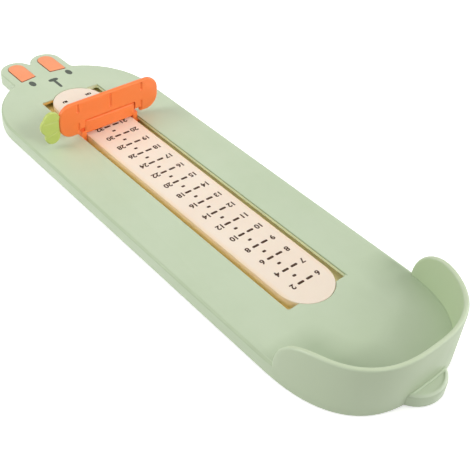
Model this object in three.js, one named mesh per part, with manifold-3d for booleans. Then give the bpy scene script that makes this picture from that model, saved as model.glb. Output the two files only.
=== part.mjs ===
// Child's foot measuring device, in millimetres, +Z up.
// The board lies flat. Y runs from the heel cup to the rabbit ears, and zero is the scale's own zero.
// Z is zero on the board's top face. The whole group is shifted at the end, so that it stands on Z = 0.
// A carrot stop folds on a saddle that slides along the slot, and the saddle's far edge reads the scale.

import * as THREE from 'three';
import { mergeVertices } from 'three/addons/utils/BufferGeometryUtils.js';
import Module from 'manifold-3d';

const wasm = await Module();
wasm.setup();

// Fits between pieces
const RUN_GAP = 0.35;
const SEAT_GAP = 0.3;
const PIN_RUN_GAP = 0.1;
const PIN_HOLD_GAP = 0.05;
const SCREW_BITE_GAP = 0.1;

// Board shell
const BOARD_HALF_WIDTH = 44.6;
const BOARD_HEIGHT = 7;
const PLATE_THICKNESS = 2;
const SKIRT_THICKNESS = 2.2;
const EDGE_RADIUS = 1.5;
const HEAD_CENTRE_Y = 236;

// Heel end of the board, a superellipse
const HEEL_START_Y = 40;
const HEEL_REACH = 50.7;
const HEEL_POWER = 2.61;

// Heel cup wall
const CUP_HEIGHT = 19.8;
const CUP_THICKNESS = 2.4;
const CUP_LEVEL_RUN = 23.2;
const CUP_END_RUN = 21.3;
const CUP_END_POWER = 2.25;
const CUP_FILLET = 0.5;
const CUP_ROOT_DEPTH = 3;
const CUP_TIP_ROOT = 0.5;
const CUP_FILLET_SHARE = 0.6;
const CUP_FILLET_LEAST = 0.05;
const CUP_FILLET_SINK = 0.01;

// Rabbit ears of the board; as on the real one, the pair stands a little to the left
const EAR_RADIUS = 9.65;
const EAR_SPLIT = 0.05;
const EAR_SHIFT = -1.3;
const EAR_TOP_Y = 298.5;
const EAR_ROOT_FILLET = 3;
const EAR_VALLEY_FILLET = 0.5;

// Ear inlays and their pockets
const INLAY_HALF_WIDTH = 4.8;
const INLAY_FOOT_Y = 276.1;
const INLAY_TOP_Y = 294.3;
const INLAY_FOOT_SLOPE = 0.14;
const INLAY_CORNER = 0.6;
const INLAY_PROUD = 0.4;
const INLAY_SEAT_DEPTH = 0.6;
const INLAY_EDGE = 0.2;
const INLAY_PEG_RADIUS = 1;
const INLAY_PEG_LENGTH = 1.4;
const INLAY_PEG_SPREAD = 9;

// Round tail behind the heel; as on the real one, it stands a little to the right
const TAIL_RADIUS = 14.8;
const TAIL_REACH = 6.6;
const TAIL_SHIFT = 0.7;
const TAIL_DROP = 1.2;
const TAIL_DISH_RIM = 1.8;
const TAIL_DISH_DEPTH = 0.3;
const TAIL_DISH_BACK = 1.1;

// Scale rail, and the slot round it, whose two ends the rail's round ends bridge
const RAIL_HALF_WIDTH = 14.7;
const RAIL_START_Y = 45.9;
const RAIL_END_Y = 254.4;
const CHANNEL_WIDTH = 3.55;
const SLOT_START_RUN = 5.1;
const SLOT_END_RUN = 4.4;
const SLOT_CORNER = 1.2;
const RAIL_EDGE_RADIUS = 0.4;
const RAIL_TOP_THICKNESS = 2;
const RAIL_WALL = 1.8;
const RAIL_RIB_THICKNESS = 1.2;
const RAIL_RIB_COUNT = 9;

// Tray floor under the slot
const CHANNEL_DEPTH = 4.6;
const FLOOR_THICKNESS = 1.4;
const FLOOR_FLANGE = 9.75;
const FLOOR_MARGIN = 5;
const FLOOR_CORNER = 4;

// Tray screws, driven from below
const SCREW_FROM_SLOT = 5.95;
const SCREW_ROWS = 4;
const SCREW_END_MARGIN = 14;
const SCREW_SHANK_RADIUS = 1;
const SCREW_HEAD_RADIUS = 2;
const SCREW_HEAD_HEIGHT = 0.9;
const SCREW_TIP_DEPTH = 1.3;
const SCREW_TIP_LENGTH = 0.7;
const SCREW_CROSS_LENGTH = 2.2;
const SCREW_CROSS_WIDTH = 0.5;
const SCREW_CROSS_DEPTH = 0.45;
const SCREW_BOSS_RADIUS = 2.4;

// Ribs under the board
const RIB_THICKNESS = 1.4;
const RIB_HEIGHT = 3.6;
const SIDE_RIB_GAP = 2;
const SIDE_RIB_COUNT = 6;
const HEEL_RIB_X = 15;
const HEEL_RIB_RUN = 30.7;

// Rubber feet and their cups
const FOOT_RADIUS = 4;
const FOOT_THICKNESS = 2;
const FOOT_PROUD = 0.6;
const FOOT_EDGE = 0.4;
const FOOT_CUP_WALL = 1;
const FOOT_CUP_LIP = 1.1;
const HEEL_FOOT_INSET = 15.6;
const HEEL_FOOT_RUN = 19.7;
const HEAD_FOOT_SHARE = 0.47;

// Saddle that slides in the slot, from the stop's front face on
const STOP_FACE_Y = 209.2;
const SADDLE_DEPTH = 8.6;
const SADDLE_SETBACK = 0.5;
const SADDLE_SLAB_SETBACK = 2.2;
const SADDLE_LEDGE_Z = 2.8;
const SADDLE_CORNER = 0.3;
const KNUCKLE_SIDE_REACH = 1.05;
const KNUCKLE_TOP_Z = 9.2;
const KNUCKLE_BOTTOM_Z = 1.8;
const KNUCKLE_EDGE = 1.4;
const KNUCKLE_CHAMFER_WIDTH = 3.1;
const KNUCKLE_CHAMFER_DEPTH = 0.6;
const BACKREST_TOP_Z = 14;
const BACKREST_FLAT = 1.7;
const BACKREST_SWEEP_Z = 4.2;
const READING_EDGE_Z = 2;
const HOOK_REACH = 2.1;
const HOOK_THICKNESS = 1.6;
const HOOK_GAP = 0.4;

// Carrot stop
const CARROT_HALF_LENGTH = 31.1;
const CARROT_BOTTOM_Z = 2.65;
const CARROT_TOP_Z = 21.65;
const CARROT_CORNER = 7.7;
const CARROT_THICKNESS = 2.6;
const CARROT_EDGE = 0.8;
const FOLD_GAP = 0.25;
const NOTCH_CORNER = 0.8;
const NOTCH_SIDE_GAP = 0.35;
const LUG_WIDTH = 3.9;
const LUG_CORNER = 1.4;
const LUG_ROOT_Z = 9.8;
const LUG_END_WALL = 0.8;
const GROOVE_WIDTH = 1.8;
const GROOVE_DEPTH = 0.6;
const GROOVE_TOP_Z = 21;
const GROOVE_SIDE_FOOT_Z = 15.6;
const GROOVE_MIDDLE_FOOT_Z = 12.2;
const GROOVE_LOWER_TOP_Z = 10;

// Hinge of the carrot stop
const HINGE_Z = 7;
const PIN_RADIUS = 1;
const BARREL_RADIUS = 2.2;

// Leaf at the carrot's end; its lobes are placed outwards from that end
const LEAF_THICKNESS = 2;
const LEAF_EDGE = 0.4;
const LEAF_GAP = 0.25;
const LEAF_LOBES = [
  { out: 3.9, z: 16.2, radius: 4.6 },
  { out: 5.4, z: 13.3, radius: 5.1 },
  { out: 3.9, z: 6.7, radius: 4.3 },
];
const TONGUE_LENGTH = 6.5;
const TONGUE_HEIGHT = 6;
const TONGUE_THICKNESS = 0.9;
const TONGUE_GAP = 0.2;

// Mesh fineness
const WELD_DISTANCE = 1e-4;
const EDGE_STEPS = 4;
const BEVEL_STEPS = 3;
const CURVE_STEPS = 8;
const ARC_STEPS = 20;
const CORNER_STEPS = 4;
const RIM_STEPS = 6;
const FILLET_STEPS = 3;
const CUP_END_STEPS = 10;
const CUP_BACK_STEPS = 36;
const ROUND_STEPS = 20;
const CAPSULE_STEPS = 4;

// Places that follow from the sizes above
const EAR_CENTRE_Y = EAR_TOP_Y - EAR_RADIUS;
const EAR_SPACING = EAR_RADIUS + EAR_SPLIT;
const HEEL_BACK_Y = HEEL_START_Y - HEEL_REACH;
const CUP_LEVEL_END_Y = HEEL_BACK_Y + CUP_LEVEL_RUN;
const TAIL_END_Y = HEEL_BACK_Y - TAIL_REACH;
const TAIL_CENTRE_Y = TAIL_END_Y + TAIL_RADIUS;
const SLOT_HALF_WIDTH = RAIL_HALF_WIDTH + CHANNEL_WIDTH;
const SLOT_START_Y = RAIL_START_Y + SLOT_START_RUN;
const SLOT_END_Y = RAIL_END_Y - SLOT_END_RUN;
const PLATE_UNDERSIDE_Z = -PLATE_THICKNESS;
const FLOOR_UNDERSIDE_Z = -CHANNEL_DEPTH - FLOOR_THICKNESS;
const FLOOR_HALF_WIDTH = SLOT_HALF_WIDTH + FLOOR_FLANGE;
const FLOOR_START_Y = RAIL_START_Y - FLOOR_MARGIN;
const FLOOR_END_Y = RAIL_END_Y + FLOOR_MARGIN;
const GROUND_Z = -BOARD_HEIGHT - FOOT_PROUD;
const FOOT_TOP_Z = GROUND_Z + FOOT_THICKNESS;
const SCREW_X = SLOT_HALF_WIDTH + SCREW_FROM_SLOT;
const SIDE_RIB_X = FLOOR_HALF_WIDTH + SIDE_RIB_GAP;
const HEEL_RIB_Y = HEEL_BACK_Y + HEEL_RIB_RUN;
const HEEL_FOOT_X = BOARD_HALF_WIDTH - HEEL_FOOT_INSET;
const HEEL_FOOT_Y = HEEL_BACK_Y + HEEL_FOOT_RUN;
const HEAD_FOOT_X = FLOOR_HALF_WIDTH + HEAD_FOOT_SHARE * (BOARD_HALF_WIDTH - FLOOR_HALF_WIDTH);
const HINGE_Y = STOP_FACE_Y + CARROT_THICKNESS;
const SADDLE_END_Y = STOP_FACE_Y + SADDLE_DEPTH;
const SADDLE_HALF_WIDTH = SLOT_HALF_WIDTH - RUN_GAP;
const KNUCKLE_HALF_WIDTH = RAIL_HALF_WIDTH + KNUCKLE_SIDE_REACH;
const NOTCH_HALF_WIDTH = KNUCKLE_HALF_WIDTH + NOTCH_SIDE_GAP;
const KNUCKLE_EDGE_Z = KNUCKLE_TOP_Z - KNUCKLE_EDGE;
const KNUCKLE_EDGE_REACH = Math.hypot(CARROT_THICKNESS - KNUCKLE_EDGE, KNUCKLE_EDGE_Z - HINGE_Z);
const NOTCH_TOP_Z = HINGE_Z + KNUCKLE_EDGE_REACH + KNUCKLE_EDGE + FOLD_GAP;
const LUG_OUTER_X = NOTCH_HALF_WIDTH + LUG_WIDTH;
const PIN_HALF_LENGTH = LUG_OUTER_X - LUG_END_WALL - SEAT_GAP;
const CARROT_MIDDLE_Z = (CARROT_TOP_Z + CARROT_BOTTOM_Z) / 2;
const BEYOND = 1;

// Solids and joins

function toSolid(geometry) {
  const bare = geometry.clone();
  bare.deleteAttribute('normal');
  bare.deleteAttribute('uv');
  const merged = mergeVertices(bare, WELD_DISTANCE);
  const corners = merged.index.array;
  const triangles = [];
  for (let i = 0; i < corners.length; i += 3) {
    const [a, b, c] = corners.slice(i, i + 3);
    if (a !== b && b !== c && c !== a) {
      triangles.push(a, b, c);
    }
  }
  const mesh = new wasm.Mesh({
    numProp: 3,
    vertProperties: new Float32Array(merged.attributes.position.array),
    triVerts: new Uint32Array(triangles),
  });
  return new wasm.Manifold(mesh);
}

function toGeometry(solid) {
  const mesh = solid.getMesh();
  const geometry = new THREE.BufferGeometry();
  geometry.setAttribute('position', new THREE.BufferAttribute(mesh.vertProperties, 3));
  geometry.setIndex(new THREE.BufferAttribute(mesh.triVerts, 1));
  geometry.computeVertexNormals();
  return geometry;
}

function join(solids) {
  return solids.reduce((sum, solid) => sum.add(solid));
}

function cut(solid, tools) {
  return tools.reduce((rest, tool) => rest.subtract(tool), solid);
}

// Triangles that close one end ring of a loft, turned the same way as its sides
function capTriangles(ring, start, flatten, isFirst) {
  const flat = ring.map(flatten);
  const flip = THREE.ShapeUtils.isClockWise(flat) !== isFirst;
  return THREE.ShapeUtils.triangulateShape(flat, []).flatMap(([a, b, c]) => {
    return flip ? [start + a, start + c, start + b] : [start + a, start + b, start + c];
  });
}

// A solid through rings of equally many points, each ring counterclockwise as seen from the last one
function loft(rings, flatten) {
  const count = rings[0].length;
  const index = [];
  for (let ring = 0; ring + 1 < rings.length; ring += 1) {
    for (let i = 0; i < count; i += 1) {
      const a = ring * count + i;
      const b = ring * count + ((i + 1) % count);
      index.push(a, b, b + count);
      index.push(a, b + count, a + count);
    }
  }
  const last = rings.length - 1;
  index.push(...capTriangles(rings[0], 0, flatten, true));
  index.push(...capTriangles(rings[last], last * count, flatten, false));
  const geometry = new THREE.BufferGeometry().setFromPoints(rings.flat());
  geometry.setIndex(index);
  return toSolid(geometry);
}

function ringAt(outline, z) {
  return outline.map((point) => new THREE.Vector3(point.x, point.y, z));
}

function fromAbove(point) {
  return new THREE.Vector2(point.x, point.y);
}

// Moves each point of a counterclockwise outline inwards, along the bisector of its corner
function insetOutline(outline, distance) {
  return outline.map((point, i) => {
    const before = outline[(i + outline.length - 1) % outline.length];
    const after = outline[(i + 1) % outline.length];
    const arriving = point.clone().sub(before).normalize();
    const leaving = after.clone().sub(point).normalize();
    const inward = new THREE.Vector2(-arriving.y - leaving.y, arriving.x + leaving.x).normalize();
    const share = arriving.cross(inward);
    return point.clone().addScaledVector(inward, distance / share);
  });
}

function prism(outline, bottom, top) {
  return loft([ringAt(outline, bottom), ringAt(outline, top)], fromAbove);
}

// A prism whose top edge is rounded
function roundedSlab(outline, bottom, top, radius) {
  const rings = [ringAt(outline, bottom)];
  for (let step = 0; step <= EDGE_STEPS; step += 1) {
    const bend = (step / EDGE_STEPS) * (Math.PI / 2);
    const inset = radius * (1 - Math.cos(bend));
    rings.push(ringAt(insetOutline(outline, inset), top - radius + radius * Math.sin(bend)));
  }
  return loft(rings, fromAbove);
}

function box(x0, x1, y0, y1, z0, z1) {
  const geometry = new THREE.BoxGeometry(x1 - x0, y1 - y0, z1 - z0);
  geometry.translate((x0 + x1) / 2, (y0 + y1) / 2, (z0 + z1) / 2);
  return toSolid(geometry);
}

function post(x, y, radius, bottom, top) {
  const geometry = new THREE.CylinderGeometry(radius, radius, top - bottom, ROUND_STEPS);
  geometry.rotateX(Math.PI / 2);
  geometry.translate(x, y, (bottom + top) / 2);
  return toSolid(geometry);
}

function rodAlongX(radius, y, z, from, to) {
  const geometry = new THREE.CylinderGeometry(radius, radius, to - from, ROUND_STEPS);
  geometry.rotateZ(Math.PI / 2);
  geometry.translate((from + to) / 2, y, z);
  return toSolid(geometry);
}

// A solid of revolution about an upright axis, from (radius, z) points
function turned(x, y, profile) {
  const points = profile.map(([radius, z]) => new THREE.Vector2(radius, z));
  const geometry = new THREE.LatheGeometry(points, ROUND_STEPS);
  geometry.rotateX(Math.PI / 2);
  geometry.translate(x, y, 0);
  return toSolid(geometry);
}

// A shape drawn as (y, z), pushed along X
function pushAlongX(shape, from, to) {
  const geometry = new THREE.ExtrudeGeometry(shape, {
    depth: to - from,
    bevelEnabled: false,
    curveSegments: CURVE_STEPS,
  });
  geometry.rotateX(Math.PI / 2);
  geometry.rotateZ(Math.PI / 2);
  geometry.translate(from, 0, 0);
  return toSolid(geometry);
}

// A shape drawn as (x, z), pushed along Y, with both rims rounded where a rim is given
function pushAlongY(shape, from, to, rim = 0) {
  const geometry = new THREE.ExtrudeGeometry(shape, {
    depth: to - from - 2 * rim,
    bevelEnabled: rim > 0,
    bevelThickness: rim,
    bevelSize: rim,
    bevelOffset: -rim,
    bevelSegments: BEVEL_STEPS,
    curveSegments: ARC_STEPS / 2,
  });
  geometry.rotateX(Math.PI / 2);
  geometry.translate(0, to - rim, 0);
  return toSolid(geometry);
}

// Outlines seen from above, counterclockwise

function arcPoints(x, y, radius, from, to, steps) {
  return Array.from({ length: steps + 1 }, (_, step) => {
    const angle = from + ((to - from) * step) / steps;
    return new THREE.Vector2(x + radius * Math.cos(angle), y + radius * Math.sin(angle));
  });
}

function circle(x, y, radius) {
  return arcPoints(x, y, radius, 0, 2 * Math.PI, 2 * ARC_STEPS).slice(1);
}

function stadium(halfWidth, startY, endY) {
  const far = arcPoints(0, endY - halfWidth, halfWidth, 0, Math.PI, ARC_STEPS);
  const near = arcPoints(0, startY + halfWidth, halfWidth, Math.PI, 2 * Math.PI, ARC_STEPS);
  return [...far, ...near];
}

function roundedRectangle(x0, x1, y0, y1, radius) {
  const corner = (x, y, from) => arcPoints(x, y, radius, from, from + Math.PI / 2, CORNER_STEPS);
  return [
    ...corner(x1 - radius, y1 - radius, 0),
    ...corner(x0 + radius, y1 - radius, Math.PI / 2),
    ...corner(x0 + radius, y0 + radius, Math.PI),
    ...corner(x1 - radius, y0 + radius, 1.5 * Math.PI),
  ];
}

// A bullet shape: a round top, upright sides and a straight foot that slopes outwards
function inlayOutline(x, grow) {
  const half = INLAY_HALF_WIDTH + grow;
  const foot = roundedRectangle(x - half, x + half, INLAY_FOOT_Y - grow, INLAY_TOP_Y, INLAY_CORNER);
  const slope = Math.sign(x) * INLAY_FOOT_SLOPE;
  const corners = foot.slice(foot.length / 2).map((point) => {
    return new THREE.Vector2(point.x, point.y - slope * (point.x - x));
  });
  const top = arcPoints(x, INLAY_TOP_Y - INLAY_HALF_WIDTH, half, 0, Math.PI, ARC_STEPS);
  return [...top, ...corners];
}

// The heel curve runs from the right side, at angle zero, round the back to the left side
function heelPoint(angle) {
  const across = Math.cos(angle);
  const reach = Math.abs(Math.sin(angle)) ** (2 / HEEL_POWER);
  const width = Math.abs(across) ** (2 / HEEL_POWER);
  const side = Math.sign(across);
  const outward = new THREE.Vector2(
    (side * width ** (HEEL_POWER - 1)) / BOARD_HALF_WIDTH,
    -(reach ** (HEEL_POWER - 1)) / HEEL_REACH,
  ).normalize();
  const at = new THREE.Vector2(side * width * BOARD_HALF_WIDTH, HEEL_START_Y - reach * HEEL_REACH);
  return { at, outward };
}

function heelAngleAt(y) {
  return Math.asin(((HEEL_START_Y - y) / HEEL_REACH) ** (HEEL_POWER / 2));
}

// Stations of the heel cup

// Where the cup's end slopes, its rim follows a quarter of a superellipse in (y, z)
function slopeStation(turn) {
  const along = Math.cos(turn) ** (2 / CUP_END_POWER);
  const up = Math.sin(turn) ** (2 / CUP_END_POWER);
  const facing = new THREE.Vector2(
    along ** (CUP_END_POWER - 1) / CUP_END_RUN,
    up ** (CUP_END_POWER - 1) / CUP_HEIGHT,
  ).normalize();
  const rimY = CUP_LEVEL_END_Y + CUP_END_RUN * along - (CUP_THICKNESS / 2) * facing.x;
  const rimZ = CUP_HEIGHT * up - (CUP_THICKNESS / 2) * facing.y;
  return { angle: heelAngleAt(rimY), rimZ, facing };
}

function cupStations() {
  const right = Array.from({ length: CUP_END_STEPS + 1 }, (_, step) => {
    return slopeStation((step / CUP_END_STEPS) * (Math.PI / 2));
  });
  const level = right[CUP_END_STEPS];
  const rear = Array.from({ length: CUP_BACK_STEPS - 1 }, (_, step) => {
    const share = (step + 1) / CUP_BACK_STEPS;
    return { ...level, angle: level.angle + (Math.PI - 2 * level.angle) * share };
  });
  const left = right.map((station) => ({ ...station, angle: Math.PI - station.angle })).reverse();
  return [...right, ...rear, ...left];
}

// A point at a depth behind the cup's outer face; ahead moves it along Y
function cupPoint(angle, depth, ahead, z) {
  let moved = angle;
  if (ahead > 0) {
    moved = heelAngleAt(heelPoint(angle).at.y + ahead);
    moved = angle > Math.PI / 2 ? Math.PI - moved : moved;
  }
  const { at, outward } = heelPoint(moved);
  const spot = at.addScaledVector(outward, -depth);
  return new THREE.Vector3(spot.x, spot.y, z);
}

// Up the outer face, over the round rim, down the inner face and round the fillet at its foot
function cupSection({ angle, rimZ, facing }) {
  const half = CUP_THICKNESS / 2;
  const section = [cupPoint(angle, 0, 0, -CUP_ROOT_DEPTH)];
  for (let step = 0; step <= RIM_STEPS; step += 1) {
    const roll = (step / RIM_STEPS) * Math.PI;
    const lift = half * Math.sin(roll);
    const depth = half - half * Math.cos(roll);
    section.push(cupPoint(angle, depth, lift * facing.x, rimZ + lift * facing.y));
  }
  const fillet = Math.max(CUP_FILLET_LEAST, Math.min(CUP_FILLET, CUP_FILLET_SHARE * rimZ));
  const foot = Math.min(rimZ, fillet);
  for (let step = 0; step <= FILLET_STEPS; step += 1) {
    const bend = (step / FILLET_STEPS) * (Math.PI / 2);
    const depth = CUP_THICKNESS + fillet * (1 - Math.cos(bend));
    const sink = CUP_FILLET_SINK * (step + 1);
    section.push(cupPoint(angle, depth, 0, foot - fillet * Math.sin(bend) - sink));
  }
  section.push(cupPoint(angle, CUP_THICKNESS + fillet, 0, -CUP_ROOT_DEPTH));
  return section;
}

function heelCup() {
  const stations = cupStations();
  const first = { ...stations[0], rimZ: CUP_TIP_ROOT - CUP_ROOT_DEPTH };
  const last = { ...first, angle: Math.PI - first.angle };
  const rings = [first, ...stations, last].map(cupSection);
  return loft(rings, (point) => new THREE.Vector2(point.x, point.z + point.y / 2));
}

// Board

// The right half of the head, from its widest point to the valley between the ears
function headHalf(shift) {
  const earX = EAR_SPACING + shift;
  const rootX = earX + EAR_RADIUS + EAR_ROOT_FILLET;
  const rootRise = Math.sqrt((BOARD_HALF_WIDTH + EAR_ROOT_FILLET) ** 2 - rootX ** 2);
  const rootY = HEAD_CENTRE_Y + rootRise;
  const rootAngle = Math.atan2(rootRise, rootX);
  const head = arcPoints(0, HEAD_CENTRE_Y, BOARD_HALF_WIDTH, 0, rootAngle, ARC_STEPS);
  const root = arcPoints(rootX, rootY, EAR_ROOT_FILLET, rootAngle - Math.PI, -Math.PI, CORNER_STEPS);

  const valleyRise = Math.sqrt((EAR_RADIUS + EAR_VALLEY_FILLET) ** 2 - EAR_SPACING ** 2);
  const valleyAngle = Math.atan2(valleyRise, -EAR_SPACING);
  const ear = arcPoints(earX, EAR_CENTRE_Y, EAR_RADIUS, 0, valleyAngle, ARC_STEPS);
  const valley = new THREE.Vector2(shift, EAR_CENTRE_Y + valleyRise - EAR_VALLEY_FILLET);
  return [...head, ...root.slice(1), ...ear, valley];
}

function boardOutline() {
  const bends = cupStations().map((station) => station.angle);
  const lead = [0, bends[0] / 3];
  const trail = lead.map((angle) => Math.PI - angle).reverse();
  const heel = [...lead, ...bends, ...trail].map((angle) => heelPoint(angle).at).reverse();
  const right = headHalf(EAR_SHIFT);
  const left = headHalf(-EAR_SHIFT).slice(0, -1);
  const mirrored = left.map((point) => new THREE.Vector2(-point.x, point.y)).reverse();
  return [...heel, ...right, ...mirrored];
}

function tailDish() {
  const radius = TAIL_RADIUS - TAIL_DISH_RIM;
  const chordY = HEEL_BACK_Y - TAIL_DISH_BACK;
  const chordAngle = Math.asin((chordY - TAIL_CENTRE_Y) / radius);
  const outline = arcPoints(
    TAIL_SHIFT,
    TAIL_CENTRE_Y,
    radius,
    -Math.PI - chordAngle,
    chordAngle,
    ARC_STEPS,
  );
  return prism(outline, -TAIL_DROP - TAIL_DISH_DEPTH, BEYOND);
}

function slotCut(bottom) {
  const start = SLOT_START_Y;
  const slot = roundedRectangle(-SLOT_HALF_WIDTH, SLOT_HALF_WIDTH, start, SLOT_END_Y, SLOT_CORNER);
  const round = stadium(RAIL_HALF_WIDTH + SEAT_GAP, RAIL_START_Y - SEAT_GAP, RAIL_END_Y + SEAT_GAP);
  return join([prism(slot, bottom, BEYOND), prism(round, bottom, BEYOND)]);
}

function screwSpots() {
  const first = FLOOR_START_Y + SCREW_END_MARGIN;
  const pitch = (FLOOR_END_Y - FLOOR_START_Y - 2 * SCREW_END_MARGIN) / (SCREW_ROWS - 1);
  const rows = Array.from({ length: SCREW_ROWS }, (_, row) => first + row * pitch);
  return rows.flatMap((y) => [-SCREW_X, SCREW_X].map((x) => ({ x, y })));
}

function footSpots() {
  return [
    { x: -HEEL_FOOT_X, y: HEEL_FOOT_Y },
    { x: HEEL_FOOT_X, y: HEEL_FOOT_Y },
    { x: -HEAD_FOOT_X, y: HEAD_CENTRE_Y },
    { x: HEAD_FOOT_X, y: HEAD_CENTRE_Y },
  ];
}

function earSpots() {
  return [EAR_SHIFT - EAR_SPACING, EAR_SHIFT + EAR_SPACING];
}

function pegSpots(x) {
  const middle = (INLAY_FOOT_Y + INLAY_TOP_Y) / 2;
  return [-1, 1].map((side) => ({ x, y: middle + (side * INLAY_PEG_SPREAD) / 2 }));
}

// Ribs, screw bosses and foot cups, all as they stand in the hollow under the board
function boardStiffeners() {
  const top = PLATE_UNDERSIDE_Z + BEYOND;
  const bottom = PLATE_UNDERSIDE_Z - RIB_HEIGHT;
  const floorGap = RIB_THICKNESS + SEAT_GAP;
  const solids = [];
  const rib = (x0, x1, y0, y1) => solids.push(box(x0, x1, y0, y1, bottom, top));
  for (const side of [-1, 1]) {
    const sideRib = side * SIDE_RIB_X;
    const skirt = side * BOARD_HALF_WIDTH;
    rib(sideRib - RIB_THICKNESS / 2, sideRib + RIB_THICKNESS / 2, TAIL_END_Y, EAR_TOP_Y);
    for (let i = 0; i < SIDE_RIB_COUNT; i += 1) {
      const y = FLOOR_START_Y + ((FLOOR_END_Y - FLOOR_START_Y) * (i + 0.5)) / SIDE_RIB_COUNT;
      rib(Math.min(sideRib, skirt), Math.max(sideRib, skirt), y, y + RIB_THICKNESS);
    }
    const heelRib = side * HEEL_RIB_X;
    rib(heelRib - RIB_THICKNESS / 2, heelRib + RIB_THICKNESS / 2, HEEL_BACK_Y, FLOOR_START_Y - SEAT_GAP);
  }
  rib(-BOARD_HALF_WIDTH, BOARD_HALF_WIDTH, HEEL_RIB_Y, HEEL_RIB_Y + RIB_THICKNESS);
  rib(-SIDE_RIB_X, SIDE_RIB_X, FLOOR_START_Y - floorGap, FLOOR_START_Y - SEAT_GAP);
  rib(-SIDE_RIB_X, SIDE_RIB_X, FLOOR_END_Y + SEAT_GAP, FLOOR_END_Y + floorGap);
  for (const { x, y } of screwSpots()) {
    solids.push(post(x, y, SCREW_BOSS_RADIUS, -CHANNEL_DEPTH + SEAT_GAP, top));
  }
  const cupRadius = FOOT_RADIUS + SEAT_GAP + FOOT_CUP_WALL;
  for (const { x, y } of footSpots()) {
    solids.push(post(x, y, cupRadius, FOOT_TOP_Z + SEAT_GAP - FOOT_CUP_LIP, top));
  }
  return join(solids);
}

function baseBoard() {
  const outline = boardOutline();
  const below = -BOARD_HEIGHT - BEYOND;
  const tailOutline = circle(TAIL_SHIFT, TAIL_CENTRE_Y, TAIL_RADIUS);
  const tail = roundedSlab(tailOutline, -BOARD_HEIGHT, -TAIL_DROP, EDGE_RADIUS);
  const shell = roundedSlab(outline, -BOARD_HEIGHT, 0, EDGE_RADIUS);
  const body = join([cut(tail, [tailDish()]), shell, heelCup()]);

  const inside = prism(insetOutline(outline, SKIRT_THICKNESS), below, PLATE_UNDERSIDE_Z);
  const hollow = cut(inside, [boardStiffeners()]);
  const tailInside = prism(
    insetOutline(tailOutline, SKIRT_THICKNESS),
    below,
    -TAIL_DROP - PLATE_THICKNESS,
  );
  const tailHollow = cut(tailInside, [prism(outline, below - BEYOND, 0)]);

  const footHoles = footSpots().map(({ x, y }) => {
    return post(x, y, FOOT_RADIUS + SEAT_GAP, below, FOOT_TOP_Z + SEAT_GAP);
  });
  const screwHoles = screwSpots().map(({ x, y }) => {
    return post(x, y, SCREW_SHANK_RADIUS + SCREW_BITE_GAP, below, -SCREW_TIP_DEPTH + SEAT_GAP);
  });
  const pockets = earSpots().flatMap((x) => [
    prism(inlayOutline(x, SEAT_GAP), -INLAY_SEAT_DEPTH - SEAT_GAP, BEYOND),
    ...pegSpots(x).map((spot) => post(spot.x, spot.y, INLAY_PEG_RADIUS + SEAT_GAP, below, 0)),
  ]);
  return cut(body, [hollow, tailHollow, slotCut(below), ...footHoles, ...screwHoles, ...pockets]);
}

function earInlay(x) {
  const plate = roundedSlab(inlayOutline(x, 0), -INLAY_SEAT_DEPTH, INLAY_PROUD, INLAY_EDGE);
  const pegs = pegSpots(x).map((spot) => {
    return post(spot.x, spot.y, INLAY_PEG_RADIUS, -INLAY_SEAT_DEPTH - INLAY_PEG_LENGTH, 0);
  });
  return join([plate, ...pegs]);
}

// Tray that closes the slot from below and carries the scale rail

function scaleTray() {
  const railOutline = stadium(RAIL_HALF_WIDTH, RAIL_START_Y, RAIL_END_Y);
  const rail = roundedSlab(railOutline, FLOOR_UNDERSIDE_Z, 0, RAIL_EDGE_RADIUS);
  const floorOutline = roundedRectangle(
    -FLOOR_HALF_WIDTH,
    FLOOR_HALF_WIDTH,
    FLOOR_START_Y,
    FLOOR_END_Y,
    FLOOR_CORNER,
  );
  const floor = prism(floorOutline, FLOOR_UNDERSIDE_Z, -CHANNEL_DEPTH);
  const hollowOutline = insetOutline(railOutline, RAIL_WALL);
  const hollow = prism(hollowOutline, FLOOR_UNDERSIDE_Z - BEYOND, -RAIL_TOP_THICKNESS);
  const ribs = Array.from({ length: RAIL_RIB_COUNT }, (_, i) => {
    const y = RAIL_START_Y + ((RAIL_END_Y - RAIL_START_Y) * (i + 1)) / (RAIL_RIB_COUNT + 1);
    const top = -RAIL_TOP_THICKNESS + BEYOND;
    return box(-RAIL_HALF_WIDTH, RAIL_HALF_WIDTH, y, y + RAIL_RIB_THICKNESS, FLOOR_UNDERSIDE_Z, top);
  });
  const holes = screwSpots().map(({ x, y }) => {
    const shank = SCREW_SHANK_RADIUS + SEAT_GAP;
    const head = SCREW_HEAD_RADIUS + SEAT_GAP;
    const top = -CHANNEL_DEPTH + BEYOND;
    return turned(x, y, [
      [0, FLOOR_UNDERSIDE_Z - BEYOND],
      [head, FLOOR_UNDERSIDE_Z - BEYOND],
      [head, FLOOR_UNDERSIDE_Z],
      [shank, FLOOR_UNDERSIDE_Z + SCREW_HEAD_HEIGHT],
      [shank, top],
      [0, top],
    ]);
  });
  return cut(join([rail, floor]), [cut(hollow, ribs), ...holes]);
}

// A countersunk screw with a cross recess in its head, point upwards
function trayScrew() {
  const bottom = FLOOR_UNDERSIDE_Z;
  const body = turned(0, 0, [
    [0, bottom],
    [SCREW_HEAD_RADIUS, bottom],
    [SCREW_SHANK_RADIUS, bottom + SCREW_HEAD_HEIGHT],
    [SCREW_SHANK_RADIUS, -SCREW_TIP_DEPTH - SCREW_TIP_LENGTH],
    [0, -SCREW_TIP_DEPTH],
  ]);
  const long = SCREW_CROSS_LENGTH / 2;
  const wide = SCREW_CROSS_WIDTH / 2;
  const slots = [[long, wide], [wide, long]].map(([x, y]) => {
    return box(-x, x, -y, y, bottom - BEYOND, bottom + SCREW_CROSS_DEPTH);
  });
  return cut(body, [join(slots)]);
}

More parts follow.
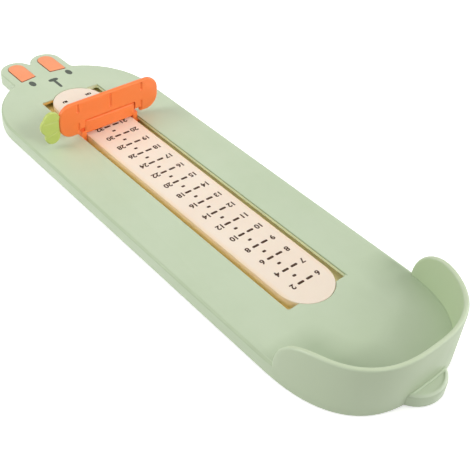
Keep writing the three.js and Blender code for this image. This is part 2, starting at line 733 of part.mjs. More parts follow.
function rubberFoot() {
  return turned(0, 0, [
    [0, GROUND_Z],
    [FOOT_RADIUS - FOOT_EDGE, GROUND_Z],
    [FOOT_RADIUS, GROUND_Z + FOOT_EDGE],
    [FOOT_RADIUS, FOOT_TOP_Z],
    [0, FOOT_TOP_Z],
  ]);
}

// Saddle: a hinge knuckle with a backrest, over a slab whose hooked legs run in the slot

function knuckleProfile() {
  const restY = HINGE_Y + SEAT_GAP;
  const edgeY = STOP_FACE_Y + KNUCKLE_EDGE;
  const profile = new THREE.Shape();
  profile.moveTo(STOP_FACE_Y, KNUCKLE_BOTTOM_Z);
  profile.lineTo(SADDLE_END_Y, KNUCKLE_BOTTOM_Z);
  profile.lineTo(SADDLE_END_Y, READING_EDGE_Z);
  profile.quadraticCurveTo(
    restY + BACKREST_FLAT,
    BACKREST_SWEEP_Z,
    restY + BACKREST_FLAT,
    BACKREST_TOP_Z,
  );
  profile.lineTo(restY, BACKREST_TOP_Z);
  profile.lineTo(restY, KNUCKLE_TOP_Z);
  profile.lineTo(edgeY, KNUCKLE_TOP_Z);
  profile.absarc(edgeY, KNUCKLE_EDGE_Z, KNUCKLE_EDGE, Math.PI / 2, Math.PI, false);
  profile.lineTo(STOP_FACE_Y, KNUCKLE_BOTTOM_Z);
  return profile;
}

// The wedge that takes off one front corner of the knuckle
function knuckleChamfer(side) {
  const faceX = side * (KNUCKLE_HALF_WIDTH - KNUCKLE_CHAMFER_WIDTH);
  const slope = KNUCKLE_CHAMFER_DEPTH / KNUCKLE_CHAMFER_WIDTH;
  const reach = KNUCKLE_CHAMFER_WIDTH + BEYOND;
  const corners = [
    new THREE.Vector2(faceX, STOP_FACE_Y),
    new THREE.Vector2(faceX, STOP_FACE_Y - BEYOND),
    new THREE.Vector2(faceX + side * reach, STOP_FACE_Y - BEYOND),
    new THREE.Vector2(faceX + side * reach, STOP_FACE_Y + reach * slope),
  ];
  return prism(side > 0 ? corners : corners.reverse(), KNUCKLE_BOTTOM_Z - BEYOND, BACKREST_TOP_Z);
}

function sliderSaddle() {
  const start = STOP_FACE_Y + SADDLE_SETBACK;
  const end = SADDLE_END_Y;
  const wide = SADDLE_HALF_WIDTH;
  const inner = RAIL_HALF_WIDTH + RUN_GAP;
  const hookTop = PLATE_UNDERSIDE_Z - HOOK_GAP;
  const hookBottom = hookTop - HOOK_THICKNESS;
  const block = pushAlongX(knuckleProfile(), -KNUCKLE_HALF_WIDTH, KNUCKLE_HALF_WIDTH);
  const knuckle = cut(block, [knuckleChamfer(-1), knuckleChamfer(1)]);
  const slabStart = STOP_FACE_Y + SADDLE_SLAB_SETBACK;
  const slab = prism(
    roundedRectangle(-wide, wide, slabStart, end, SADDLE_CORNER),
    SEAT_GAP,
    SADDLE_LEDGE_Z,
  );
  const legs = [-1, 1].flatMap((side) => {
    const limb = (outer, bottom, top) => {
      const [x0, x1] = side > 0 ? [inner, outer] : [-outer, -inner];
      return prism(roundedRectangle(x0, x1, start, end, SADDLE_CORNER), bottom, top);
    };
    return [
      limb(wide, hookBottom, SADDLE_LEDGE_Z),
      limb(SLOT_HALF_WIDTH + HOOK_REACH, hookBottom, hookTop),
    ];
  });
  const bore = rodAlongX(PIN_RADIUS + PIN_HOLD_GAP, HINGE_Y, HINGE_Z, -wide, wide);
  return cut(join([knuckle, slab, ...legs]), [bore]);
}

// Carrot stop: a plate with round ends, notched round the knuckle and hinged at two lugs

// The plate seen from the front, grown on every side for the leaf that fits round its end
function carrotOutline(grow) {
  const radius = CARROT_CORNER + grow;
  const endX = CARROT_HALF_LENGTH - CARROT_CORNER;
  const low = CARROT_BOTTOM_Z + CARROT_CORNER;
  const high = CARROT_TOP_Z - CARROT_CORNER;
  const shape = new THREE.Shape();
  shape.absarc(endX, low, radius, -Math.PI / 2, 0, false);
  shape.absarc(endX, high, radius, 0, Math.PI / 2, false);
  shape.absarc(-endX, high, radius, Math.PI / 2, Math.PI, false);
  shape.absarc(-endX, low, radius, Math.PI, 1.5 * Math.PI, false);
  shape.closePath();
  return shape;
}

function lugProfile() {
  const bottom = HINGE_Z - BARREL_RADIUS;
  const profile = new THREE.Shape();
  profile.moveTo(STOP_FACE_Y, LUG_ROOT_Z);
  profile.lineTo(STOP_FACE_Y, bottom + LUG_CORNER);
  profile.absarc(
    STOP_FACE_Y + LUG_CORNER,
    bottom + LUG_CORNER,
    LUG_CORNER,
    Math.PI,
    1.5 * Math.PI,
    false,
  );
  profile.absarc(HINGE_Y, HINGE_Z, BARREL_RADIUS, -Math.PI / 2, Math.PI / 2, false);
  profile.lineTo(HINGE_Y, LUG_ROOT_Z);
  profile.closePath();
  return profile;
}

// The notch seen from the front, with round upper corners
function notchOutline() {
  const cornerX = NOTCH_HALF_WIDTH - NOTCH_CORNER;
  const cornerZ = NOTCH_TOP_Z - NOTCH_CORNER;
  const shape = new THREE.Shape();
  shape.moveTo(-NOTCH_HALF_WIDTH, 0);
  shape.lineTo(NOTCH_HALF_WIDTH, 0);
  shape.absarc(cornerX, cornerZ, NOTCH_CORNER, 0, Math.PI / 2, false);
  shape.absarc(-cornerX, cornerZ, NOTCH_CORNER, Math.PI / 2, Math.PI, false);
  shape.closePath();
  return shape;
}

// A round-bottomed, round-ended groove in the plate's face
function faceGroove(x, from, to) {
  const radius = ((GROOVE_WIDTH / 2) ** 2 + GROOVE_DEPTH ** 2) / (2 * GROOVE_DEPTH);
  const length = to - from - 2 * radius;
  const geometry = new THREE.CapsuleGeometry(radius, length, CAPSULE_STEPS, ROUND_STEPS);
  geometry.rotateX(Math.PI / 2);
  geometry.translate(x, STOP_FACE_Y + GROOVE_DEPTH - radius, (from + to) / 2);
  return toSolid(geometry);
}

function carrotPanel() {
  const front = STOP_FACE_Y - BEYOND;
  const back = HINGE_Y + BARREL_RADIUS + BEYOND;
  const plate = pushAlongY(carrotOutline(0), STOP_FACE_Y, HINGE_Y, CARROT_EDGE);
  const window = box(-LUG_OUTER_X, LUG_OUTER_X, front, back, 0, HINGE_Z);
  const lugs = pushAlongX(lugProfile(), -LUG_OUTER_X, LUG_OUTER_X);
  const notch = pushAlongY(notchOutline(), front, back);
  const grooves = [
    faceGroove(-LUG_OUTER_X, GROOVE_SIDE_FOOT_Z, GROOVE_TOP_Z),
    faceGroove(0, GROOVE_MIDDLE_FOOT_Z, GROOVE_TOP_Z),
    faceGroove(LUG_OUTER_X, GROOVE_SIDE_FOOT_Z, GROOVE_TOP_Z),
    faceGroove(-LUG_OUTER_X, 0, GROOVE_LOWER_TOP_Z),
    faceGroove(LUG_OUTER_X, 0, GROOVE_LOWER_TOP_Z),
  ];
  const socketEnd = PIN_HALF_LENGTH + SEAT_GAP;
  const sockets = rodAlongX(PIN_RADIUS + PIN_RUN_GAP, HINGE_Y, HINGE_Z, -socketEnd, socketEnd);
  const body = join([cut(plate, [window]), lugs]);
  return cut(body, [notch, ...grooves, sockets, leafTongue(TONGUE_GAP)]);
}

// The leaf's tongue in the carrot's end, grown on every side for the slot that takes it
function leafTongue(grow) {
  const middle = STOP_FACE_Y + CARROT_THICKNESS / 2;
  const deep = TONGUE_THICKNESS / 2 + grow;
  const high = TONGUE_HEIGHT / 2 + grow;
  return box(
    -CARROT_HALF_LENGTH - BEYOND,
    -CARROT_HALF_LENGTH + TONGUE_LENGTH + grow,
    middle - deep,
    middle + deep,
    CARROT_MIDDLE_Z - high,
    CARROT_MIDDLE_Z + high,
  );
}

function carrotLeaf() {
  const middle = STOP_FACE_Y + CARROT_THICKNESS / 2;
  const front = middle - LEAF_THICKNESS / 2;
  const back = middle + LEAF_THICKNESS / 2;
  const endX = CARROT_CORNER - CARROT_HALF_LENGTH;
  const lobes = LEAF_LOBES.map(({ out, z, radius }) => {
    const disc = new THREE.Shape();
    disc.absarc(-CARROT_HALF_LENGTH - out, z, radius, 0, 2 * Math.PI, false);
    return pushAlongY(disc, front, back, LEAF_EDGE);
  });
  const [upper, , lower] = LEAF_LOBES;
  const root = new THREE.Shape();
  root.moveTo(-CARROT_HALF_LENGTH - lower.out, lower.z);
  root.lineTo(endX, lower.z);
  root.lineTo(endX, upper.z);
  root.lineTo(-CARROT_HALF_LENGTH - upper.out, upper.z);
  root.closePath();
  const blade = join([...lobes, pushAlongY(root, front, back, LEAF_EDGE)]);
  const endCut = pushAlongY(carrotOutline(LEAF_GAP), front - BEYOND, back + BEYOND);
  return join([cut(blade, [endCut]), leafTongue(0)]);
}

// Materials

function plastic(color, roughness) {
  return new THREE.MeshStandardMaterial({ color, roughness, metalness: 0 });
}

const sageGreen = plastic(0xc3d0b4, 0.42);
const cream = plastic(0xf0e2d0, 0.45);
const carrotOrange = plastic(0xff7d3c, 0.4);
const paleOrange = plastic(0xfa9169, 0.5);
const leafGreen = plastic(0xb4cd64, 0.42);
const greyRubber = plastic(0x6a6d6c, 0.85);
const steel = new THREE.MeshStandardMaterial({ color: 0xb9bcbe, roughness: 0.3, metalness: 1 });

function part(name, solid, material) {
  const mesh = new THREE.Mesh(toGeometry(solid), material);
  mesh.name = name;
  return mesh;
}

// Assembly

const device = new THREE.Group();
device.add(part('base_board', baseBoard(), sageGreen));
device.add(part('scale_tray', scaleTray(), cream));
const [leftEarX, rightEarX] = earSpots();
device.add(part('ear_inlay_left', earInlay(leftEarX), paleOrange));
device.add(part('ear_inlay_right', earInlay(rightEarX), paleOrange));
screwSpots().forEach(({ x, y }, i) => {
  const screw = part(`tray_screw_${i + 1}`, trayScrew(), steel);
  screw.position.set(x, y, 0);
  device.add(screw);
});
footSpots().forEach(({ x, y }, i) => {
  const foot = part(`rubber_foot_${i + 1}`, rubberFoot(), greyRubber);
  foot.position.set(x, y, 0);
  device.add(foot);
});

const pin = rodAlongX(PIN_RADIUS, HINGE_Y, HINGE_Z, -PIN_HALF_LENGTH, PIN_HALF_LENGTH);
const slider = new THREE.Group();
slider.add(part('slider_saddle', sliderSaddle(), carrotOrange));
slider.add(part('hinge_pin', pin, steel));
slider.add(part('carrot_panel', carrotPanel(), carrotOrange));
slider.add(part('carrot_leaf', carrotLeaf(), leafGreen));
device.add(slider);
device.position.set(0, -(TAIL_END_Y + EAR_TOP_Y) / 2, -GROUND_Z);

const group = new THREE.Group();
group.add(device);

export default group;
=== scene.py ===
"""A child's foot measuring board, rabbit-shaped, with a heel cup, a printed rail and a carrot stop.

Everything is in metres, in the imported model's frame: +Y from the heel cup to the ears, +Z up.
The moulded pieces come from the frame. This script finishes them, prints the scale and the face,
and sets up the floor, the light and the camera.
"""

import math

import bmesh
import bpy
from mathutils import Matrix, Vector


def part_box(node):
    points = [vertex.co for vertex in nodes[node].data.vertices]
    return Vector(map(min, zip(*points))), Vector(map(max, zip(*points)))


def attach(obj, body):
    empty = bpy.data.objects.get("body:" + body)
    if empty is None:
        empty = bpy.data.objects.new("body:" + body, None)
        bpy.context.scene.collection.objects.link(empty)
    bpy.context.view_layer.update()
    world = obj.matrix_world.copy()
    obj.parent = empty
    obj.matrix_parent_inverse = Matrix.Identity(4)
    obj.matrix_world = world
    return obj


MM = 0.001

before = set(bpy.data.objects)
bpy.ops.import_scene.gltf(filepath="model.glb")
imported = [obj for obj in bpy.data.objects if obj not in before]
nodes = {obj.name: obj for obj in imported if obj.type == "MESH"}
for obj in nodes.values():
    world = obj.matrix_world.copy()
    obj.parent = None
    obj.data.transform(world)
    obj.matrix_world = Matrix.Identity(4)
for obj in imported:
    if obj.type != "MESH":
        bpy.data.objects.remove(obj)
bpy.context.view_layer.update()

# Places read from the frame
tray_low, tray_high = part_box("scale_tray")
board_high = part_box("base_board")[1]
panel_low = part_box("carrot_panel")[0]

RAIL_TOP = tray_high.z
BOARD_TOP = RAIL_TOP
TRAY_TO_ZERO = 40.9 * MM
SCALE_ZERO_Y = tray_low.y - TRAY_TO_ZERO

# Below, places along the board count from the scale's zero

# A band of three values has a low end, a high end and the width of its soft edges

# Print on the rail
PRINT_SHIFT_X = 0.85 * MM
PRINT_LIFT = 0.02 * MM
PRINT_THICKNESS = 0.02 * MM
FIRST_CM = 6
LAST_CM = 23
ROW_PITCH = 10 * MM
CM_X = 7.8 * MM
SHOE_X = -7.6 * MM
DIGIT_HEIGHT = 3.25 * MM
DIGIT_STRETCH = 1.1
DIGIT_WEIGHT = 0.16 * MM
DIGIT_SPACING = 0.95
DIGIT_STEPS = 4
TYPE_SIZE_PER_HEIGHT = 1.42
DASH_X = 2.67 * MM
DASH_LENGTH = 3.9 * MM
DASH_WIDTH = 1.32 * MM
DASH_ROUNDING = 0.45
HALF_MARK_X = -1.9 * MM
HALF_MARK_LENGTH = 2.1 * MM
UNIT_Y = 243.9 * MM
UNIT_HEIGHT = 1.9 * MM
UNIT_WEIGHT = 0.28 * MM
SIZE_UNIT_X = -7.8 * MM
LENGTH_UNIT_X = 7.5 * MM

# Face on the board
FACE_X = 0.3 * MM
EYE_X = 12 * MM
EYE_Y = 270.6 * MM
EYE_WIDTH = 3.6 * MM
EYE_LENGTH = 5.8 * MM
NOSE_Y = 268.0 * MM
NOSE_WIDTH = 6.0 * MM
NOSE_LENGTH = 3.0 * MM
NOSE_POWER = 2.6
STEM_WIDTH = 1.8 * MM
STEM_END_Y = 258.7 * MM
STEM_POWER = 5
STEM_LIFT = 0.01 * MM

# Slot of the board and rail of the tray
SLOT_HALF_WIDTH = 18.25 * MM
SLOT_START_Y = 51.0 * MM
SLOT_END_Y = 250.0 * MM
RAIL_HALF_WIDTH = 14.7 * MM
RAIL_START_Y = 45.9 * MM
RAIL_END_Y = 254.4 * MM

# Heel end, whose plan is half a superellipse
HEEL_START_Y = 40.0 * MM
HEEL_HALF_WIDTH = board_high.x
HEEL_LENGTH = 50.7 * MM
HEEL_POWER = 2.61
CUP_THICKNESS = 2.4 * MM
CUP_TIP_Y = 42.0 * MM
CUP_FULL_Y = 30.0 * MM
CUP_BACK_Y = -10.7 * MM

# Painted bounce light and a painted dark reflection in the slot, with heights from the board's top
SLOT_END_OVERLAP = 0.4 * MM
SLOT_SIDE_OVERLAP = 0.1 * MM
SLOT_END_SOFT = 0.3 * MM
SLOT_WALL_FADE = (-0.7 * MM, -0.4 * MM)
SLOT_FOOT_FADE = (-3.6 * MM, -2.4 * MM)
FAR_END_DEPTH = 0.2 * MM
SLOT_RIM_INSIDE = 0.2 * MM
SLOT_RIM_OUTSIDE = 0.4 * MM
SLOT_RIM_SOFT = 0.15 * MM
SLOT_RIM_DARK_REFLECTION = 0.85

# Painted dark reflection on the line where the board's outer edge rolls over: how far up it faces,
# and its heights from the top
EDGE_FACING = (0.25, 0.94, 0.1)
EDGE_HEIGHTS = (-1.6 * MM, -0.02 * MM, 0.02 * MM)
EDGE_GAP = 2 * MM
EDGE_DARK_REFLECTION = 0.8

# Painted shade and painted highlights of the heel cup and the tail, where a share of one lies on
# the outline
CUP_REACH_SHARE = 1.02
CUP_CORNER_SHARE = 0.98
CUP_SHADE_SHARES = (0.52, 1.0)
CUP_SHADE_TONE = 0.9
CUP_SHADE_LEAD = 13.0 * MM
CUP_LEAD_X = (8 * MM, 28 * MM)
CUP_LEAN = 0.42
CUP_LEAN_X = (-22 * MM, 0.0)
CUP_FLOOR_BAND = 0.03 * MM
CUP_CREASE_SHADE_BAND = (0.01 * MM, 0.6 * MM, 0.02 * MM)
CUP_RIM_START = 1.0 * MM
CUP_RIM_FACING = (0.5, 0.8)
CUP_RIM_HIGHLIGHT = 0.8
CUP_WALL_FACING = (0.2, 0.5)
CUP_WALL_SHADE = 0.8
CUP_OUTER_SHADE_SHARES = (0.985, 1.006, 0.002)
TAIL_FACING = 0.6
TAIL_PAINTED_LIGHT = 0.9
TAIL_HIGHLIGHT_SHARES = (1.006, 1.018, 0.004)
TAIL_HIGHLIGHT_X = (-8.6 * MM, 11.0 * MM, 1.0 * MM)
TAIL_HIGHLIGHT_HEIGHT = 0.5 * MM

# Painted warm bounce light on the tray, with heights from the rail's top
RAIL_BORDER_X = (12.3 * MM, RAIL_HALF_WIDTH)
RAIL_BORDER_BOUNCE = 0.7
RAIL_EDGE = 0.6 * MM
UNDERSIDE_FACING = -0.5
CHANNEL_WARM_FADE = (-1.0 * MM, -0.1 * MM)
CHANNEL_DEEP_FADE = (-3.2 * MM, -1.8 * MM)
CHANNEL_FLOOR_FADE = (-4.6 * MM, -4.2 * MM)

# Standing sides of the ear inlays, which get painted shade, by how far they face up
INLAY_SIDE_FACING = (0.35, 0.75)

# Creases of the leaf: height above the board, slope, and reach from the carrot's end
LEAF_CREASES = ((14.9 * MM, 0.05, 8.4 * MM), (9.4 * MM, -0.28, 6.6 * MM))
LEAF_CREASE_HALF_WIDTH = 0.3 * MM
LEAF_CREASE_SOFT = 0.5 * MM
LEAF_CREASE_START = 1.0 * MM
LEAF_CREASE_END_SOFT = 1.2 * MM
LEAF_CREASE_HIGHLIGHT = 0.55
LEAF_CREASE_DEPTH = 0.3 * MM
LEAF_CREASE_STRENGTH = 0.5

# Range of a noise texture that holds most of its values
NOISE_RANGE = (0.35, 0.65)

# Textures: each has a scale, detail and roughness, and a grain has a depth and a strength too
PLASTIC_CLOUDS = (28, 4, 0.6)
PLASTIC_GLOSS = (90, 5, 0.6)
PLASTIC_GLOSS_SPREAD = (-0.05, 0.06)
PLASTIC_GRAIN = ((3200, 2, 0.6), 0.02 * MM, 0.4)
PLASTIC_WAVES = ((60, 2, 0.4), 0.25 * MM, 0.08)
PLASTIC_SPECULAR = 0.45
INK_COVER = (900, 3, 0.7)
INK_COVER_RANGE = (0.5, 0.8)
INK_GLOSS = (400, 2)
INK_ROUGHNESS = (0.45, 0.6)
INK_GRAIN = ((2500, 2), 0.01 * MM, 0.3)
INK_SPECULAR = 0.25
RUBBER_CLOUDS = (500, 4)
RUBBER_GLOSS = (900, 3)
RUBBER_ROUGHNESS = (0.75, 0.92)
RUBBER_GRAIN = ((2600, 3), 0.05 * MM, 0.5)
STEEL_STREAKS = (1500, 2)
STEEL_GLOSS = (700, 3)
STEEL_ROUGHNESS = (0.22, 0.38)
STEEL_GRAIN = ((4000, 2), 0.01 * MM, 0.3)
FLOOR_SPECKLE = (40, 3)

# Light that travels a little way through a plastic, by red, green and blue
GLOW_COLOURS = (1.0, 0.5, 0.25)
GLOW_DEPTH = 1.5 * MM

# Soft edges of the moulded pieces, with angles in degrees
WELD_DISTANCE = 0.002 * MM
SMOOTH_ANGLE = 32
BEVEL_ANGLE = 40
BEVEL_SEGMENTS = 3
SADDLE_BEVEL = 0.25 * MM
FOOT_BEVEL = 0.15 * MM

# Camera, fitted to the rows of the scale, with angles in degrees
CAMERA_PLACE = Vector((-211.29, -249.42, 261.54)) * MM
CAMERA_AZIMUTH = -44.507
CAMERA_ELEVATION = 40.721
CAMERA_ROLL = 5.394
CAMERA_LENS = 63.70
SENSOR_WIDTH = 36
CLIP_START = 10 * MM

# Floor, which is plain white to the eye away from the object
FLOOR_REACH = 6.0
FLOOR_GLOW = (0.5, 1.0)
FLOOR_GLOW_REACH = (0.4, 1.3)
FLOOR_WHITE = (0.90, 0.90, 0.90, 1)
FLOOR_SHADE = (0.88, 0.88, 0.88, 1)
FLOOR_ROUGHNESS = 0.9
FLOOR_SPECULAR = 0.1

# Light: each softbox has a place, a width, a length and a power, and faces the origin
WORLD_LEVEL = 0.315
SOFTBOXES = (
    ("left_softbox", (-1.18, 0.72, 0.95), 1.0, 0.8, 12.5),
    ("right_softbox", (1.25, -0.75, 0.65), 1.1, 0.8, 11.0),
    ("top_softbox", (0.0, 0.1, 1.3), 0.7, 0.7, 2.7),
)
SPOT_PLACE = (0.08, -0.9, 0.72)
SPOT_TARGET = (-0.01, 0.14, 0.01)
SPOT_ANGLE = 17.5
SPOT_RADIUS = 0.16
SPOT_POWER = 26.0

# Sockets of the mix node that take and give colours
MIX_FIRST = 6
MIX_SECOND = 7
MIX_RESULT = 2


# Node helpers


def new_material(name):
    material = bpy.data.materials.new(name)
    material.use_nodes = True
    tree = material.node_tree
    tree.nodes.clear()
    output = tree.nodes.new("ShaderNodeOutputMaterial")
    shader = tree.nodes.new("ShaderNodeBsdfPrincipled")
    tree.links.new(shader.outputs["BSDF"], output.inputs["Surface"])
    return material, tree, shader


def opened(material):
    """The node tree of a finished material, and its shader."""
    tree = material.node_tree
    shader = next(n for n in tree.nodes if n.type == "BSDF_PRINCIPLED")
    return tree, shader


def from_srgb(colour):
    def linear(value):
        value /= 255
        return value / 12.92 if value <= 0.04045 else ((value + 0.055) / 1.055) ** 2.4

    return tuple(linear(value) for value in colour) + (1.0,)


def coordinate(tree, axis):
    """One coordinate, X, Y or Z, in the model's own frame, in metres."""
    place = tree.nodes.new("ShaderNodeTexCoord")
    split = tree.nodes.new("ShaderNodeSeparateXYZ")
    tree.links.new(place.outputs["Object"], split.inputs["Vector"])
    return split.outputs[axis]


def facing_up(tree):
    """How far a surface faces up, from one on level ground to minus one on an underside."""
    geometry = tree.nodes.new("ShaderNodeNewGeometry")
    split = tree.nodes.new("ShaderNodeSeparateXYZ")
    tree.links.new(geometry.outputs["Normal"], split.inputs["Vector"])
    return split.outputs["Z"]


def maths(tree, operation, *values):
    node = tree.nodes.new("ShaderNodeMath")
    node.operation = operation
    for socket, value in zip(node.inputs, values):
        if isinstance(value, (int, float)):
            socket.default_value = value
        else:
            tree.links.new(value, socket)
    return node.outputs[0]


def product(tree, first, *others):
    """All the values multiplied, so that a mask holds where each of its parts does."""
    for value in others:
        first = maths(tree, "MULTIPLY", first, value)
    return first


def more(tree, value, limit):
    return maths(tree, "GREATER_THAN", value, limit)


def less(tree, value, limit):
    return maths(tree, "LESS_THAN", value, limit)


def size_of(tree, value):
    return maths(tree, "ABSOLUTE", value)


def spread(tree, value, low, high, from_low=NOISE_RANGE[0], from_high=NOISE_RANGE[1]):
    """Turns a value in the second range into one between low and high, and holds both ends."""
    node = tree.nodes.new("ShaderNodeMapRange")
    node.inputs["From Min"].default_value = from_low
    node.inputs["From Max"].default_value = from_high
    node.inputs["To Min"].default_value = low
    node.inputs["To Max"].default_value = high
    tree.links.new(value, node.inputs["Value"])
    return node.outputs["Result"]


def rise(tree, value, start, end, top=1):
    """Nothing up to the start, and the top value from the end on."""
    return spread(tree, value, 0, top, start, end)


def fall(tree, value, start, end):
    """One up to the start, and nothing from the end on."""
    return spread(tree, value, 1, 0, start, end)


def between(tree, value, low, high, soft):
    """One from low to high and nothing outside, with soft edges that lie half on each side."""
    up = rise(tree, value, low - soft / 2, low + soft / 2)
    down = fall(tree, value, high - soft / 2, high + soft / 2)
    return product(tree, up, down)


def noise(tree, scale, detail=3.0, roughness=0.5):
    place = tree.nodes.new("ShaderNodeTexCoord")
    texture = tree.nodes.new("ShaderNodeTexNoise")
    texture.inputs["Scale"].default_value = scale
    texture.inputs["Detail"].default_value = detail
    texture.inputs["Roughness"].default_value = roughness
    tree.links.new(place.outputs["Object"], texture.inputs["Vector"])
    return texture.outputs["Fac"]


def blend_colours(tree, factor, first, second):
    node = tree.nodes.new("ShaderNodeMix")
    node.data_type = "RGBA"
    node.clamp_factor = True
    tree.links.new(factor, node.inputs["Factor"])
    for socket, colour in ((node.inputs[MIX_FIRST], first), (node.inputs[MIX_SECOND], second)):
        if isinstance(colour, tuple):
            socket.default_value = colour
        else:
            tree.links.new(colour, socket)
    return node.outputs[MIX_RESULT]


def tint(tree, shader, steps):
    """Lays further colours over the base colour, each where its mask is one."""
    for mask, colour in steps:
        under = shader.inputs["Base Color"].links[0].from_socket
        base = blend_colours(tree, mask, under, from_srgb(colour))
        tree.links.new(base, shader.inputs["Base Color"])


def bump(tree, shader, layers):
    """Stacks height textures: each layer is (value, distance in metres, strength)."""
    previous = None
    for value, distance, strength in layers:
        node = tree.nodes.new("ShaderNodeBump")
        node.inputs["Strength"].default_value = strength
        node.inputs["Distance"].default_value = distance
        tree.links.new(value, node.inputs["Height"])
        if previous is not None:
            tree.links.new(previous, node.inputs["Normal"])
        previous = node.outputs["Normal"]
    tree.links.new(previous, shader.inputs["Normal"])


# Materials


def grained_material(name, colours, clouds, gloss, roughness, grains, cover=NOISE_RANGE):
    """Two blended colours, uneven gloss between two roughnesses, and a stack of fine grains."""
    material, tree, shader = new_material(name)
    share = spread(tree, noise(tree, *clouds), 0, 1, *cover)
    first, second = colours
    base = blend_colours(tree, share, from_srgb(first), from_srgb(second))
    tree.links.new(base, shader.inputs["Base Color"])
    dullness = spread(tree, noise(tree, *gloss), *roughness)
    tree.links.new(dullness, shader.inputs["Roughness"])
    layers = [(noise(tree, *texture), depth, strength) for texture, depth, strength in grains]
    bump(tree, shader, layers)
    return material, shader


def moulded_plastic(name, colour, shade, roughness, glow=0.0):
    """Satin moulded plastic: flow clouds in the colour, a fine eroded grain and uneven gloss."""
    roughnesses = [roughness + change for change in PLASTIC_GLOSS_SPREAD]
    grains = (PLASTIC_GRAIN, PLASTIC_WAVES)
    material, shader = grained_material(
        name, (colour, shade), PLASTIC_CLOUDS, PLASTIC_GLOSS, roughnesses, grains
    )
    shader.inputs["Specular IOR Level"].default_value = PLASTIC_SPECULAR
    if glow:
        shader.inputs["Subsurface Weight"].default_value = glow
        shader.inputs["Subsurface Radius"].default_value = GLOW_COLOURS
        shader.inputs["Subsurface Scale"].default_value = GLOW_DEPTH
    return material


def printed_ink(name, colour, thin):
    """Screen-printed ink: slightly uneven cover with a dull sheen."""
    material, shader = grained_material(
        name, (colour, thin), INK_COVER, INK_GLOSS, INK_ROUGHNESS, (INK_GRAIN,), INK_COVER_RANGE
    )
    shader.inputs["Specular IOR Level"].default_value = INK_SPECULAR
    return material


def grey_rubber():
    """Matte rubber with a coarse grain."""
    colours = ((104, 107, 106), (120, 122, 120))
    return grained_material(
        "grey_rubber", colours, RUBBER_CLOUDS, RUBBER_GLOSS, RUBBER_ROUGHNESS, (RUBBER_GRAIN,)
    )[0]


def bright_steel():
    """Plain steel with uneven shine."""
    colours = ((190, 193, 196), (168, 171, 175))
    material, shader = grained_material(
        "bright_steel", colours, STEEL_STREAKS, STEEL_GLOSS, STEEL_ROUGHNESS, (STEEL_GRAIN,)
    )
    shader.inputs["Metallic"].default_value = 1.0
    return material


def seen_directly(tree):
    """One for a ray from the camera, a mirror or glass, and nothing for light on the object."""
    path = tree.nodes.new("ShaderNodeLightPath")
    mirrored = maths(tree, "MAXIMUM", path.outputs["Is Camera Ray"], path.outputs["Is Glossy Ray"])
    return maths(tree, "MAXIMUM", mirrored, path.outputs["Is Transmission Ray"])


def pale_floor():
    """A white sweep: seen directly it is white, and it still takes the object's soft shadow."""
    material, tree, shader = new_material("pale_floor")
    speckle = spread(tree, noise(tree, *FLOOR_SPECKLE), 0, 1)
    base = blend_colours(tree, speckle, FLOOR_WHITE, FLOOR_SHADE)
    tree.links.new(base, shader.inputs["Base Color"])
    shader.inputs["Roughness"].default_value = FLOOR_ROUGHNESS
    shader.inputs["Specular IOR Level"].default_value = FLOOR_SPECULAR
    glow = tree.nodes.new("ShaderNodeEmission")
    place = tree.nodes.new("ShaderNodeTexCoord")
    reach = tree.nodes.new("ShaderNodeVectorMath")
    reach.operation = "LENGTH"
    tree.links.new(place.outputs["Object"], reach.inputs[0])
    level = spread(tree, reach.outputs["Value"], *FLOOR_GLOW, *FLOOR_GLOW_REACH)
    tree.links.new(product(tree, seen_directly(tree), level), glow.inputs["Strength"])
    both = tree.nodes.new("ShaderNodeAddShader")
    tree.links.new(shader.outputs["BSDF"], both.inputs[0])
    tree.links.new(glow.outputs["Emission"], both.inputs[1])
    output = next(n for n in tree.nodes if n.type == "OUTPUT_MATERIAL")
    tree.links.new(both.outputs[0], output.inputs["Surface"])
    return material


def slot_tints(tree, x, y, height):
    """Painted warm bounce light on the slot's walls, honey at the far left, and a painted dark
    right edge.
    """
    start = SCALE_ZERO_Y + SLOT_START_Y - SLOT_END_OVERLAP
    end = SCALE_ZERO_Y + SLOT_END_Y + SLOT_END_OVERLAP
    along = between(tree, y, start, end, SLOT_END_SOFT)
    inside = less(tree, size_of(tree, x), SLOT_HALF_WIDTH + SLOT_SIDE_OVERLAP)
    slot = product(tree, along, inside)
    # Painted warm bounce light from the tray on the slot's walls, yellower towards their foot
    wall = product(tree, slot, fall(tree, height, *SLOT_WALL_FADE))
    foot = product(tree, slot, fall(tree, height, *SLOT_FOOT_FADE))
    far_end = more(tree, y, SCALE_ZERO_Y + SLOT_END_Y - FAR_END_DEPTH)
    # Painted honey bounce light on the far left end of the slot
    painted_far_bounce = product(tree, wall, far_end, less(tree, x, 0.0))
    rim_start = SLOT_HALF_WIDTH - SLOT_RIM_INSIDE
    rim_end = SLOT_HALF_WIDTH + SLOT_RIM_OUTSIDE
    rim = between(tree, x, rim_start, rim_end, SLOT_RIM_SOFT)
    # Painted dark reflection along the slot's right upper edge
    upper = product(tree, rim, rise(tree, height, *SLOT_WALL_FADE, SLOT_RIM_DARK_REFLECTION), along)
    return [
        (wall, (228, 241, 208)),
        (foot, (250, 246, 184)),
        (painted_far_bounce, (224, 184, 104)),
        (upper, (152, 172, 134)),
    ]


def edge_tints(tree, x, height, up):
    """A thin painted dark reflection where the board's rounded outer edge rolls over."""
    roll = between(tree, up, *EDGE_FACING)
    brow = between(tree, height, *EDGE_HEIGHTS)
    outer = more(tree, size_of(tree, x), SLOT_HALF_WIDTH + EDGE_GAP)
    # The line is a painted dark reflection
    return [(product(tree, roll, brow, outer, EDGE_DARK_REFLECTION), (176, 193, 156))]


